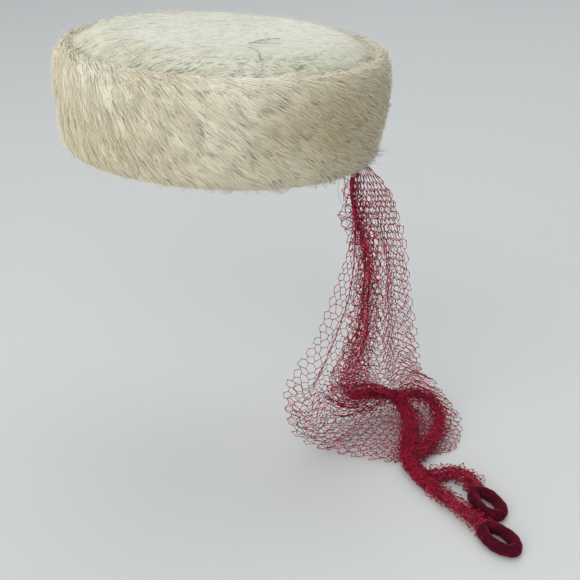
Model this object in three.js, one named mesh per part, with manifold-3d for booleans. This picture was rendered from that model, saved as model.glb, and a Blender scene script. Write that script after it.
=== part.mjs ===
// A pillbox hat of long-napped fur felt with a net veil that ends in two velvet loops.
// Units are millimetres. The rim lies in the plane z = 0, with the middle of the head
// opening at the origin. +Z is up, -X is towards the wearer's face, +X is the back.

import * as THREE from 'three';
import Module from 'manifold-3d';

const library = await Module();
library.setup();

// Driving dimensions: the hat

const hat_length = 216;
const hat_breadth = 190;
const crown_height = 75;
const crown_lift = 3;
const tip_inset = 19;
const felt_thickness = 2;
const cuff_height = 66;
const cuff_thickness = 13;
const fit_gap = 0.3;

const cuff_lock = { length: 46, width: 19, height: 2.6 };
const crown_lock = { length: 34, width: 18, height: 1.3 };

// Driving dimensions: the veil and its loops

const gather_thickness = 6;
const veil_reach = 105;
const veil_depth = 90;
const veil_drop = 242;
const net_thickness = 1.3;
const net_opening_share = 0.7;
const fold_depth = 5;
const rope_width = 14;
const rope_thickness = 9;
const side_fold_width = 8;
const side_fold_thickness = 5;
const tail_width = 11;
const tail_thickness = 8;

const loop_length = 38;
const loop_width = 24.5;
const loop_tube = 9;

// Fineness of the facets

const crown_sides = 40;
const cuff_sides = 44;
const bundle_sides = 6;
const loop_sides = 20;
const loop_tube_sides = 8;
const net_columns = 9;
const net_rows = 10;
const facet_tolerance = 0.2;

// Sizes worked out from them

const crown_half_length = hat_length / 2 - cuff_thickness - fit_gap;
const crown_half_breadth = hat_breadth / 2 - cuff_thickness - fit_gap;
const tip_half_length = crown_half_length - tip_inset;
const tip_half_breadth = crown_half_breadth - tip_inset;
const gather_x = crown_half_length - felt_thickness - fit_gap - gather_thickness / 2;

// Points, numbers and solids

const UP = new THREE.Vector3(0, 0, 1);
const { degToRad, lerp } = THREE.MathUtils;

function oval_point(half_length, half_breadth, angle, height) {
  return new THREE.Vector3(half_length * Math.cos(angle), half_breadth * Math.sin(angle), height);
}

function oval_ring(half_length, half_breadth, height, sides) {
  return Array.from({ length: sides }, (_, side) =>
    oval_point(half_length, half_breadth, (side / sides) * 2 * Math.PI, height));
}

// A short seeded sequence from -1 to 1: every lock differs, and each build is the same.
function seeded(seed) {
  let state = seed;
  return () => {
    state = (state * 16807) % 2147483647;
    return (2 * state) / 2147483647 - 1;
  };
}

// 1 at no distance, 0 from one reach away on.
function bump(distance, reach) {
  return 0.5 + 0.5 * Math.cos(Math.PI * Math.min(Math.abs(distance) / reach, 1));
}

function turn_between(from, to) {
  return Math.atan2(Math.sin(to - from), Math.cos(to - from));
}

// Reads a column of a table at a place between its rows.
function read_table(rows, by, at, column) {
  const upper = rows.findIndex((row) => row[by] >= at);
  if (upper === -1) return rows.at(-1)[column];
  if (upper === 0) return rows[0][column];
  const low = rows[upper - 1];
  const high = rows[upper];
  return lerp(low[column], high[column], (at - low[by]) / (high[by] - low[by]));
}

function signed_volume(points, faces) {
  const normal = new THREE.Vector3();
  return faces.reduce((sum, [a, b, c]) =>
    sum + points[a].dot(normal.crossVectors(points[b], points[c])) / 6, 0);
}

function solid_from_faces(points, faces) {
  const outward = signed_volume(points, faces) > 0;
  const mesh = new library.Mesh({
    numProp: 3,
    vertProperties: Float32Array.from(points.flatMap((point) => point.toArray())),
    triVerts: Uint32Array.from(faces.flatMap(([a, b, c]) => (outward ? [a, b, c] : [a, c, b]))),
  });
  return new library.Manifold(mesh);
}

// Rings of points make a skin. It closes at two end points, or joins up with itself.
function solid_from_rings(rings, ends) {
  const around = rings[0].length;
  const points = rings.flat();
  const faces = [];
  const bands = ends ? rings.length - 1 : rings.length;
  for (let ring = 0; ring < bands; ring += 1) {
    const here = ring * around;
    const there = ((ring + 1) % rings.length) * around;
    for (let side = 0; side < around; side += 1) {
      const next = (side + 1) % around;
      faces.push([here + side, here + next, there + next]);
      faces.push([here + side, there + next, there + side]);
    }
  }
  if (ends) {
    const start = points.push(ends[0]) - 1;
    const finish = points.push(ends[1]) - 1;
    const last = (rings.length - 1) * around;
    for (let side = 0; side < around; side += 1) {
      const next = (side + 1) % around;
      faces.push([start, next, side]);
      faces.push([finish, last + side, last + next]);
    }
  }
  return solid_from_faces(points, faces);
}

// One solid of many that overlap, without the slivers that their seams leave.
function fused(solids) {
  return library.Manifold.union(solids).simplify(facet_tolerance);
}

function mesh_from_solid(solid, name, colour) {
  const { vertProperties, triVerts } = solid.getMesh();
  const geometry = new THREE.BufferGeometry();
  geometry.setAttribute('position', new THREE.Float32BufferAttribute(vertProperties, 3));
  geometry.setIndex(Array.from(triVerts));
  geometry.computeVertexNormals();
  const material = new THREE.MeshStandardMaterial({ color: colour, roughness: 0.95, metalness: 0 });
  material.name = name;
  const mesh = new THREE.Mesh(geometry, material);
  mesh.name = name;
  return mesh;
}

// Locks of fur
// A lock is a flat spindle that lies along the nap: its edges, keel and ends are sunk in
// the felt, and its crest stands out. Each row is a section: places along the lock are
// shares of its length, widths of its width, heights and depths of its height.

const lock_rows = [
  { along: -0.14, width: 0.85, crest: 0.7, edge: -0.3, keel: -1.0 },
  { along: 0.2, width: 1.0, crest: 1.0, edge: -0.3, keel: -1.0 },
];
const lock_end_height = -0.35;

function raised_point(place, along, across, height) {
  const step = 1;
  const forward = place(along + step, across).sub(place(along - step, across));
  const sideways = place(along, across + step).sub(place(along, across - step));
  return place(along, across).addScaledVector(forward.cross(sideways).normalize(), height);
}

function fur_lock(place, { length, width, height }) {
  const at = (along, across, share) =>
    raised_point(place, along * length, across * width, share * height);
  const rings = lock_rows.map((row) => [
    at(row.along, -row.width / 2, row.edge),
    at(row.along, 0, row.crest),
    at(row.along, row.width / 2, row.edge),
    at(row.along, 0, row.keel),
  ]);
  return solid_from_rings(rings, [-0.5, 0.5].map((along) => at(along, 0, lock_end_height)));
}

function varied_size(size, random) {
  return {
    length: size.length * (1 + 0.18 * random()),
    width: size.width * (1 + 0.15 * random()),
    height: size.height * (1 + 0.2 * random()),
  };
}

// Crown: a felt cap, heights as shares of its rise, insets as shares of the tip's inset

const crown_profile = [
  { inset: 0.0, height: 0.0 },
  { inset: 0.02, height: 0.74 },
  { inset: 0.12, height: 0.83 },
  { inset: 0.3, height: 0.9 },
  { inset: 0.6, height: 0.955 },
  { inset: 1.0, height: 0.985 },
];
const tip_rings = [0.5];
const shoulder_locks = { inset: 0.5, count: 14 };
const tip_lock_rows = [
  { share: 0.7, count: 9, swirl: -18 },
  { share: 0.28, count: 4, swirl: 14 },
];

function tip_height(share, rise) {
  const edge = crown_profile.at(-1).height;
  return crown_lift + rise * (1 - (1 - edge) * share ** 2);
}

function crown_shell() {
  const rings_for = (wall) => {
    const rise = crown_height - crown_lift - wall;
    const sides = crown_profile.map(({ inset, height }) => {
      const inwards = wall + inset * (tip_inset - wall);
      return oval_ring(crown_half_length - inwards, crown_half_breadth - inwards,
        crown_lift + height * rise, crown_sides);
    });
    const top = tip_rings.map((share) =>
      oval_ring(share * tip_half_length, share * tip_half_breadth,
        tip_height(share, rise), crown_sides));
    return [...sides, ...top];
  };
  const peaks = [0, felt_thickness].map((wall) =>
    new THREE.Vector3(0, 0, crown_height - wall));
  return solid_from_rings([...rings_for(0).reverse(), ...rings_for(felt_thickness)], peaks);
}

// A point of the rounded shoulder, between the side at inset 0 and the tip at inset 1.
function shoulder_point(angle, inset) {
  const height = read_table(crown_profile, 'inset', inset, 'height');
  return oval_point(crown_half_length - inset * tip_inset, crown_half_breadth - inset * tip_inset,
    angle, crown_lift + height * (crown_height - crown_lift));
}

function tip_point(x, y) {
  const share = Math.hypot(x / tip_half_length, y / tip_half_breadth);
  return new THREE.Vector3(x, y, tip_height(share, crown_height - crown_lift));
}

// The nap runs from the front round both sides to the back: -1 turns with the clock.
function backwards(turn) {
  return Math.sin(turn) > 0 ? -1 : 1;
}

function crown_locks() {
  const random = seeded(11);
  const girth = (tip_half_length + tip_half_breadth + tip_inset) / 2;
  const shoulder = Array.from({ length: shoulder_locks.count }, (_, number) => {
    const turn = ((number + 0.5 + 0.2 * random()) / shoulder_locks.count) * 2 * Math.PI;
    const way = backwards(turn);
    const place = (along, across) => shoulder_point(turn + (way * along) / girth,
      shoulder_locks.inset + (way * across) / (1.5 * tip_inset));
    return fur_lock(place, varied_size(crown_lock, random));
  });
  const tip = tip_lock_rows.flatMap(({ share, count, swirl }) =>
    Array.from({ length: count }, (_, number) => {
      const turn = ((number + 0.3 * random()) / count) * 2 * Math.PI;
      const middle = oval_point(share * tip_half_length, share * tip_half_breadth, turn, 0);
      const heading = degToRad(swirl * Math.sin(turn) + 12 * random());
      const ahead = new THREE.Vector3(Math.cos(heading), Math.sin(heading), 0);
      const aside = new THREE.Vector3(-ahead.y, ahead.x, 0);
      const place = (along, across) => {
        const spot = middle.clone().addScaledVector(ahead, along).addScaledVector(aside, across);
        return tip_point(spot.x, spot.y);
      };
      return fur_lock(place, varied_size(crown_lock, random));
    }));
  return [...shoulder, ...tip];
}

// Cuff: a roll of fur felt round the crown. Its section runs from the top of the groove
// over the ridge, down the outside and round the lower roll: bulges are shares of the
// cuff's thickness, heights are shares of its height.

const cuff_section = [
  { bulge: 0.0, height: 0.82 },
  { bulge: 0.12, height: 0.92 },
  { bulge: 0.34, height: 0.985 },
  { bulge: 0.58, height: 1.0 },
  { bulge: 0.8, height: 0.955 },
  { bulge: 0.94, height: 0.85 },
  { bulge: 1.0, height: 0.68 },
  { bulge: 0.99, height: 0.46 },
  { bulge: 0.95, height: 0.26 },
  { bulge: 0.83, height: 0.1 },
  { bulge: 0.58, height: 0.015 },
  { bulge: 0.3, height: 0.01 },
  { bulge: 0.08, height: 0.06 },
  { bulge: 0.0, height: 0.14 },
];

// Swells and hollows of the fur: where they are round the hat and up the cuff, how far
// they spread, and how far they stand out as a share of the thickness.
const cuff_swells = [
  { name: 'front brow', turn: 180, height: 0.75, spread: 70, tall: 0.4, swell: 0.06 },
  { name: 'front waist', turn: 180, height: 0.4, spread: 50, tall: 0.25, swell: -0.14 },
  { name: 'front foot', turn: 185, height: 0.12, spread: 60, tall: 0.3, swell: -0.16 },
  { name: 'side belly', turn: -112, height: 0.3, spread: 60, tall: 0.4, swell: 0.08 },
  { name: 'seam dip', turn: -62, height: 0.55, spread: 22, tall: 0.6, swell: -0.1 },
  { name: 'back foot', turn: 0, height: 0.1, spread: 70, tall: 0.5, swell: -0.3 },
  { name: 'far belly', turn: 105, height: 0.35, spread: 60, tall: 0.4, swell: 0.06 },
  { name: 'far dip', turn: 60, height: 0.6, spread: 24, tall: 0.6, swell: -0.08 },
];

const nap_slope = { front: degToRad(66), back: degToRad(28) };
const cuff_lock_rows = [
  { drop: 0.16, count: 17 },
  { drop: 0.38, count: 17 },
  { drop: 0.6, count: 17 },
  { drop: 0.82, count: 17 },
];

function cuff_point(angle, bulge, height) {
  const swell = cuff_swells.reduce((sum, row) =>
    sum + row.swell * bump(turn_between(degToRad(row.turn), angle), degToRad(row.spread))
      * bump(height - row.height, row.tall), 0);
  const out = fit_gap + bulge * (1 + swell) * (cuff_thickness - cuff_lock.height);
  return oval_point(crown_half_length + out, crown_half_breadth + out,
    angle, height * cuff_height);
}

function cuff_ring() {
  const rings = cuff_section.map(({ bulge, height }) =>
    Array.from({ length: cuff_sides }, (_, side) =>
      cuff_point((side / cuff_sides) * 2 * Math.PI, bulge, height)));
  return solid_from_rings(rings);
}

// How far down the section each row lies, in millimetres.
const cuff_drops = cuff_section.map((row) => ({ ...row, drop: 0 }));
cuff_drops.slice(1).forEach((row, number) => {
  const above = cuff_drops[number];
  row.drop = above.drop + Math.hypot((row.bulge - above.bulge) * cuff_thickness,
    (row.height - above.height) * cuff_height);
});

function cuff_face(angle, drop) {
  return cuff_point(angle, read_table(cuff_drops, 'drop', drop, 'bulge'),
    read_table(cuff_drops, 'drop', drop, 'height'));
}

function cuff_locks() {
  const random = seeded(7);
  const girth = (hat_length + hat_breadth) / 4;
  const face_length = cuff_drops.at(-1).drop;
  return cuff_lock_rows.flatMap((row, level) =>
    Array.from({ length: row.count }, (_, number) => {
      const turn = ((number + level / 2 + 0.25 * random()) / row.count) * 2 * Math.PI;
      const drop = row.drop * face_length + 2 * random();
      const slope = lerp(nap_slope.back, nap_slope.front, ((1 - Math.cos(turn)) / 2) ** 1.6)
        + degToRad(9) * random();
      const down = Math.sin(slope);
      const around = Math.cos(slope) * backwards(turn);
      const place = (along, across) =>
        cuff_face(turn + (along * around + across * down) / girth,
          drop + along * down - across * around);
      return fur_lock(place, varied_size(cuff_lock, random));
    }));
}

// Veil: net gathered inside the back of the rim, spread as it falls, then drawn into a
// rope that parts into two tails. Each row is a level of its fall. Places are shares of
// the veil's reach, depth and drop. The bundle is where the net is gathered thick, with
// its width and thickness as shares of the rope's, the way its flat side faces as a turn
// from +X, and how far it lies flat: 0 hangs, 1 lies.

const veil_rows = [
  { bundle: [0, 0, 0.04], left: [-0.03, -0.09, 0], right: [-0.03, 0.09, 0] },
  { bundle: [-0.01, -0.01, -0.1], left: [0, -0.13, -0.12], right: [0.23, 0.11, -0.11] },
  { bundle: [0.05, 0, -0.2], left: [0.02, -0.17, -0.22], right: [0.33, 0.13, -0.21] },
  { bundle: [0.14, 0.02, -0.32], left: [-0.02, -0.19, -0.32], right: [0.41, 0.16, -0.34] },
  { bundle: [0.16, 0.07, -0.46], left: [-0.08, -0.19, -0.43], right: [0.46, 0.2, -0.47] },
  { bundle: [0.15, 0.13, -0.6], left: [-0.165, -0.13, -0.56], right: [0.53, 0.27, -0.61] },
  { bundle: [0.11, 0.22, -0.74], left: [-0.28, -0.07, -0.69], right: [0.61, 0.4, -0.74] },
  { bundle: [0.13, 0.46, -0.87], left: [-0.35, 0.04, -0.83], right: [0.75, 0.65, -0.86] },
  { bundle: [0.29, 0.66, -0.9], left: [-0.22, -0.05, -0.92], right: [0.88, 0.76, -0.92] },
  { bundle: [0.48, 0.76, -0.93], left: [0.07, -0.01, -0.98], right: [0.99, 0.57, -0.975] },
  { bundle: [0.59, 0.5, -0.95], left: [0.4, -0.05, -0.99], right: [0.93, 0.24, -0.985] },
  { bundle: [0.57, 0.11, -0.97], left: [0.54, -0.02, -0.99], right: [0.73, 0.08, -0.985] },
];

const bundle_rows = [
  { level: 0, width: 1.14, thickness: 0.67, turn: 180, lie: 0 },
  { level: 1, width: 0.86, thickness: 0.67, turn: 120, lie: 0 },
  { level: 3, width: 0.57, thickness: 0.56, turn: 90, lie: 0 },
  { level: 5, width: 0.71, thickness: 0.56, turn: 90, lie: 0 },
  { level: 6, width: 1.0, thickness: 0.56, turn: 90, lie: 0.2 },
  { level: 7, width: 0.86, thickness: 0.67, turn: 90, lie: 0.8 },
  { level: 9, width: 0.79, thickness: 0.67, turn: 90, lie: 1 },
  { level: 11, width: 1.0, thickness: 1.0, turn: 90, lie: 1 },
];

// The rope goes on from the last row to the fork, and the tails start inside it.
const rope_places = [[0.58, -0.12, -0.98], [0.66, -0.31, -0.98]];

// A second gathered fold swings out through the right of the net and back to the rope.
const side_fold_places = [
  [0.49, 0.77, -0.93],
  [0.68, 0.88, -0.94],
  [0.81, 0.74, -0.95],
  [0.82, 0.47, -0.96],
  [0.73, 0.2, -0.965],
  [0.62, -0.01, -0.97],
];

const loops = {
  velvet_loop_upper: {
    middle: [1.06, -0.59],
    heading: -66,
    tail: [[0.7, -0.28, -0.98], [0.78, -0.23, -0.98], [0.89, -0.21, -0.975], [0.98, -0.31, -0.975]],
  },
  velvet_loop_lower: {
    middle: [1.085, -1.03],
    heading: -55,
    tail: [[0.69, -0.38, -0.98], [0.76, -0.51, -0.98], [0.86, -0.67, -0.975], [0.95, -0.82, -0.975]],
  },
};

function veil_place([reach, depth, drop]) {
  return new THREE.Vector3(gather_x + reach * veil_reach, depth * veil_depth, drop * veil_drop);
}

function smooth_route(points) {
  return new THREE.CatmullRomCurve3(points, false, 'centripetal');
}

const veil_routes = Object.fromEntries(['bundle', 'left', 'right'].map((column) =>
  [column, smooth_route(veil_rows.map((row) => veil_place(row[column])))]));

// A point of the net: across runs from -1 at the left edge to 1 at the right, along from
// the gather at 0 to the rope at 1. Pleats swing it to and fro.
function net_point(across, along) {
  const at = THREE.MathUtils.clamp(along, 0, 1);
  const bundle = veil_routes.bundle.getPoint(at);
  const edge = veil_routes[across < 0 ? 'left' : 'right'].getPoint(at);
  const point = bundle.clone().lerp(edge, Math.abs(across));
  const pleat = fold_depth * bump(at - 0.5, 0.5) * Math.sin(3.4 * Math.PI * across);
  const sideways = veil_routes.right.getPoint(at).sub(veil_routes.left.getPoint(at));
  const outward = sideways.cross(veil_routes.bundle.getTangent(at)).normalize();
  return point.addScaledVector(outward, pleat);
}

// The net is a wall cut through in six-sided openings, laid like bricks. Every cell has
// six corners, and its opening is the same shape drawn in towards the middle.
function net_wall() {
  const points = [];
  const faces = [];
  const corner_numbers = new Map();
  const edge_uses = new Map();

  const add_point = (across, along) => {
    const step = 0.01;
    const place = (u, v) => net_point(across + u, along + v);
    const sideways = place(step, 0).sub(place(-step, 0));
    const onward = place(0, step).sub(place(0, -step));
    const half = sideways.cross(onward).normalize().multiplyScalar(net_thickness / 2);
    points.push(place(0, 0).add(half), place(0, 0).sub(half));
    return points.length - 2;
  };

  const spot = (column, row) => {
    const zigzag = (column + row) % 2 === 0 ? 1 / 6 : -1 / 6;
    return [column / net_columns - 1, (row + zigzag) / net_rows];
  };

  const corner = (column, row) => {
    const key = `${column},${row}`;
    if (!corner_numbers.has(key)) corner_numbers.set(key, add_point(...spot(column, row)));
    return corner_numbers.get(key);
  };

  const add_quad = (a, b, c, d) => faces.push([a, b, c], [a, c, d]);

  for (let row = 0; row < net_rows; row += 1) {
    for (let column = row % 2; column + 2 <= 2 * net_columns; column += 2) {
      const places = [
        [column, row], [column + 1, row], [column + 2, row],
        [column + 2, row + 1], [column + 1, row + 1], [column, row + 1],
      ];
      const outer = places.map(([c, r]) => corner(c, r));
      const spots = places.map(([c, r]) => spot(c, r));
      const middle = [0, 1].map((axis) =>
        spots.reduce((sum, place) => sum + place[axis] / spots.length, 0));
      const inner = spots.map(([across, along]) => add_point(
        lerp(middle[0], across, net_opening_share), lerp(middle[1], along, net_opening_share)));
      places.forEach((_, side) => {
        const next = (side + 1) % places.length;
        add_quad(outer[side], outer[next], inner[next], inner[side]);
        add_quad(inner[side] + 1, inner[next] + 1, outer[next] + 1, outer[side] + 1);
        add_quad(inner[side], inner[next], inner[next] + 1, inner[side] + 1);
        edge_uses.set(`${outer[side]},${outer[next]}`, [outer[side], outer[next]]);
      });
    }
  }
  edge_uses.forEach(([from, to]) => {
    if (!edge_uses.has(`${to},${from}`)) add_quad(to, from, from + 1, to + 1);
  });
  return solid_from_faces(points, faces);
}

// A gathered bundle of net: an oval tube with a pleated outline.
function bundle_tube(places, shape_at, steps) {
  const route = smooth_route(places);
  const rings = Array.from({ length: steps + 1 }, (_, step) => {
    const share = step / steps;
    const shape = shape_at(share);
    const facing = new THREE.Vector3(Math.cos(shape.turn), Math.sin(shape.turn), 0)
      .lerp(UP, shape.lie);
    const tangent = route.getTangent(share);
    const wide = tangent.clone().cross(facing).normalize();
    const thick = wide.clone().cross(tangent);
    return Array.from({ length: bundle_sides }, (__, side) => {
      const angle = (side / bundle_sides) * 2 * Math.PI;
      const pleat = side % 2 ? 0.84 : 1;
      return route.getPoint(share)
        .addScaledVector(wide, (Math.cos(angle) * pleat * shape.width) / 2)
        .addScaledVector(thick, (Math.sin(angle) * pleat * shape.thickness) / 2);
    });
  });
  return solid_from_rings(rings, [places[0], places.at(-1)]);
}

function main_bundle() {
  const places = [...veil_rows.map((row) => row.bundle), ...rope_places].map(veil_place);
  const last = places.length - 1;
  const shape_at = (share) => {
    const read = (column) => read_table(bundle_rows, 'level', share * last, column);
    return {
      width: read('width') * rope_width,
      thickness: read('thickness') * rope_thickness,
      turn: degToRad(read('turn')),
      lie: read('lie'),
    };
  };
  return bundle_tube(places, shape_at, 2 * last);
}

function lying_bundle(places, width, thickness) {
  const steps = 2 * (places.length - 1);
  return bundle_tube(places, () => ({ width, thickness, turn: 0, lie: 1 }), steps);
}

// Velvet loops: padded tubes bent into ovals that lie on the table

function loop_middle({ middle: [reach, depth] }) {
  return veil_place([reach, depth, -1]).add(new THREE.Vector3(0, 0, loop_tube / 2));
}

function loop_point(loop, angle) {
  const heading = degToRad(loop.heading);
  return oval_point((loop_length - loop_tube) / 2, (loop_width - loop_tube) / 2, angle, 0)
    .applyAxisAngle(UP, heading).add(loop_middle(loop));
}

function loop_ring(loop, tube_width) {
  const rings = Array.from({ length: loop_sides }, (_, side) => {
    const angle = (side / loop_sides) * 2 * Math.PI;
    const middle = loop_point(loop, angle);
    const tangent = loop_point(loop, angle + 0.01).sub(loop_point(loop, angle - 0.01)).normalize();
    const outward = tangent.clone().cross(UP);
    return Array.from({ length: loop_tube_sides }, (__, turn) => {
      const around = ((turn + 0.5) / loop_tube_sides) * 2 * Math.PI;
      return middle.clone()
        .addScaledVector(outward, (Math.cos(around) * tube_width) / 2)
        .addScaledVector(UP, (Math.sin(around) * tube_width) / 2);
    });
  });
  return solid_from_rings(rings);
}

function tail(loop) {
  const places = [rope_places[0], ...loop.tail].map(veil_place);
  places.push(loop_point(loop, Math.PI));
  return lying_bundle(places, tail_width, tail_thickness);
}

function veil_solid() {
  const tails = Object.values(loops).map(tail);
  const side_fold = lying_bundle(side_fold_places.map(veil_place), side_fold_width,
    side_fold_thickness);
  const veil = fused([net_wall(), main_bundle(), side_fold, ...tails]);
  const seats = Object.values(loops).map((loop) => loop_ring(loop, loop_tube + 2 * fit_gap));
  return seats.reduce((solid, seat) => solid.subtract(seat), veil);
}

// The whole hat

const hat = new THREE.Group();
hat.name = 'pillbox_hat';
hat.add(mesh_from_solid(fused([crown_shell(), ...crown_locks()]), 'crown', 0xe3e4d8));
hat.add(mesh_from_solid(fused([cuff_ring(), ...cuff_locks()]), 'cuff', 0xcbc5b0));
hat.add(mesh_from_solid(veil_solid(), 'veil', 0xa31f3c));
Object.entries(loops).forEach(([name, loop]) => {
  hat.add(mesh_from_solid(loop_ring(loop, loop_tube), name, 0x4f1322));
});

export default hat;
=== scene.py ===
# %% [markdown]
# # A fur felt pillbox hat with a gathered net veil
#
# The hat is a felt crown inside a thick cuff, both with a long nap that is brushed from
# the front round both sides to the back. A net veil hangs from the back of the rim, is
# drawn into a rope, and ends in two padded velvet loops. The fixed model gives every
# piece its place, so this script repeats its named sizes and tables and adds what makes
# the hat look real: the nap, hair by hair, the net, thread by thread, and the finishes.
#
# Sizes are in millimetres until a mesh is made. The rim lies in the plane z = 0, -X is
# the front of the hat and +X is the back.

# %% Load the fixed model
import math

import bpy
import numpy as np
from mathutils import Matrix, Vector


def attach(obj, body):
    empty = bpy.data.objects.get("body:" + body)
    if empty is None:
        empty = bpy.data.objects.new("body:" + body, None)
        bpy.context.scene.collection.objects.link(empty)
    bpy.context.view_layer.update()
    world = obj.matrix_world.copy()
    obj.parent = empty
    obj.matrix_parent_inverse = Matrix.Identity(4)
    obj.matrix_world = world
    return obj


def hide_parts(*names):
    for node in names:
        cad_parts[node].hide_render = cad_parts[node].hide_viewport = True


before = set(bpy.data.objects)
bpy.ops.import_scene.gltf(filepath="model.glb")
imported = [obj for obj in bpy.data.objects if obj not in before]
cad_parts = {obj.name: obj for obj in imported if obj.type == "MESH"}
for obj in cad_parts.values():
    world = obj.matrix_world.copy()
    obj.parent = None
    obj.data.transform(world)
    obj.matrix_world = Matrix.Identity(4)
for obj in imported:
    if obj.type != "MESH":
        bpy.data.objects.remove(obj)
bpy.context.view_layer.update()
scene = bpy.context.scene
MM = 0.001
print("the fixed model's pieces:", sorted(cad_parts))

# %% [markdown]
# ## The camera, the floor and the light
#
# The camera stands in front of the hat's left side and looks 25 degrees down, with a
# small roll. The hat is held up as if worn, and the ends of its veil lie on the floor.
# Large soft lights stand in front, above and behind, as round a product table.

# %% Camera
# The focus and the frame's side are in pixels.
CAMERA_PLACE = (51.3, -703.0, 224.0)
CAMERA_PITCH = math.radians(25.0)
CAMERA_ROLL = math.radians(3.4)
CAMERA_FOCUS, FRAME_SIDE = 1100.0, 580.0
SENSOR_WIDTH = 36.0


def add_camera():
    camera = bpy.data.cameras.new("camera")
    camera.sensor_width = SENSOR_WIDTH
    camera.lens = SENSOR_WIDTH * CAMERA_FOCUS / FRAME_SIDE
    viewer = bpy.data.objects.new("camera", camera)
    ahead = Vector((0, math.cos(CAMERA_PITCH), -math.sin(CAMERA_PITCH)))
    level, up = Vector((1, 0, 0)), Vector((0, math.sin(CAMERA_PITCH), math.cos(CAMERA_PITCH)))
    right = math.cos(CAMERA_ROLL) * level + math.sin(CAMERA_ROLL) * up
    above = -math.sin(CAMERA_ROLL) * level + math.cos(CAMERA_ROLL) * up
    turn = Matrix((right, above, -ahead)).transposed().to_4x4()
    viewer.matrix_world = Matrix.Translation(Vector(CAMERA_PLACE) * MM) @ turn
    scene.collection.objects.link(viewer)
    scene.camera = viewer


add_camera()
print("camera lens:", round(scene.camera.data.lens, 1), "mm")

# %% Node helpers for the materials


def add_node(tree, kind, values=(), **settings):
    """A node with its settings, and its input values by name."""
    node = tree.nodes.new(kind)
    for name, value in settings.items():
        setattr(node, name, value)
    for name, value in dict(values).items():
        node.inputs[name].default_value = value
    return node


def colour(red, green, blue):
    """A screen colour from 0 to 255, as the linear value that a socket wants."""
    share = np.array([red, green, blue]) / 255
    linear = np.where(share > 0.04045, ((share + 0.055) / 1.055) ** 2.4, share / 12.92)
    return (*linear.tolist(), 1.0)


def new_material(name, values):
    """A material and its tree, with a Principled surface that has these values."""
    material = bpy.data.materials.new(name)
    material.use_nodes = True
    tree = material.node_tree
    surface = tree.nodes["Principled BSDF"]
    for socket, value in values.items():
        surface.inputs[socket].default_value = value
    return material, tree, surface


# %% Floor and lights
FLOOR_HEIGHT = -242.0
FLOOR_SIDE = 9000.0


def floor_material():
    material, tree, surface = new_material("pale_floor", {"Roughness": 0.75})
    place = add_node(tree, "ShaderNodeTexCoord")
    cloud = add_node(tree, "ShaderNodeTexNoise", {"Scale": 1.6, "Detail": 3.0})
    tone = add_node(tree, "ShaderNodeMix", data_type="RGBA")
    tone.inputs["A"].default_value = colour(203, 205, 204)
    tone.inputs["B"].default_value = colour(208, 209, 209)
    tree.links.new(place.outputs["Object"], cloud.inputs["Vector"])
    tree.links.new(cloud.outputs["Fac"], tone.inputs["Factor"])
    tree.links.new(tone.outputs["Result"], surface.inputs["Base Color"])
    return material


bpy.ops.mesh.primitive_plane_add(size=FLOOR_SIDE * MM, location=(0, 0, FLOOR_HEIGHT * MM))
floor = bpy.context.object
floor.name = "floor"
floor.data.materials.append(floor_material())

# Light places and sides are in metres.
LIGHTS = {
    "key": {"place": (-0.7, -1.9, 0.9), "side": 2.4, "watts": 52.0},
    "top": {"place": (0.1, 0.3, 1.7), "side": 1.6, "watts": 10.0},
    "back": {"place": (0.8, 2.2, 1.6), "side": 2.0, "watts": 15.0},
}
ROOM_COLOUR, ROOM_STRENGTH = (0.93, 0.97, 1.0, 1.0), 0.45


def add_light(name, place, side, watts):
    lamp = bpy.data.lights.new(name, "AREA")
    lamp.size = side
    lamp.energy = watts
    holder = bpy.data.objects.new(name, lamp)
    holder.location = place
    holder.rotation_euler = (-Vector(place)).to_track_quat("-Z", "Y").to_euler()
    scene.collection.objects.link(holder)


for light_name, light in LIGHTS.items():
    add_light(light_name, **light)
scene.world = bpy.data.worlds.new("soft_room")
scene.world.use_nodes = True
room = scene.world.node_tree.nodes["Background"]
room.inputs["Color"].default_value = ROOM_COLOUR
room.inputs["Strength"].default_value = ROOM_STRENGTH
scene.view_settings.view_transform = "Standard"
print("lights:", len(LIGHTS))

# %% [markdown]
# ## Tools that several pieces share
#
# A table of a few named rows becomes a smooth curve, and thousands of hairs or threads
# become one joined mesh: every one is a thin three-sided tube along a short path, and
# all of them are worked out at once as arrays. A number called tint goes with every
# point, and the materials read it to make one hair lighter than the next; on the nap it
# also carries painted shade and painted highlights.

# %% Curves through tables, and joined meshes from arrays
ABOUT_A_TURN = 6.28


def along_rows(rows, at):
    """A smooth curve through the rows: at is a row number with a fraction."""
    rows = np.asarray(rows, float)
    slopes = np.gradient(rows, axis=0)
    at = np.clip(at, 0, len(rows) - 1)
    low = np.minimum(at.astype(int), len(rows) - 2)
    part = (at - low)[..., None]
    square, cube = part**2, part**3
    return (
        (2 * cube - 3 * square + 1) * rows[low]
        + (cube - 2 * square + part) * slopes[low]
        + (3 * square - 2 * cube) * rows[low + 1]
        + (cube - square) * slopes[low + 1]
    )


def bump(distance, reach):
    """1 at no distance, 0 from one reach away on."""
    return 0.5 + 0.5 * np.cos(np.pi * np.minimum(np.abs(distance) / reach, 1))


def slow_noise(first, second, seed, waves=7):
    """Smooth noise of a few waves, about from -1 to 1."""
    waves_random = np.random.default_rng(seed)
    total = 0.0
    for _ in range(waves):
        pace = waves_random.normal(0, 1, 2)
        start = ABOUT_A_TURN * waves_random.random()
        total = total + np.sin(first * pace[0] + second * pace[1] + start)
    return total / math.sqrt(waves)


def unit(vectors):
    return vectors / np.maximum(np.linalg.norm(vectors, axis=-1, keepdims=True), 1e-9)


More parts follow.
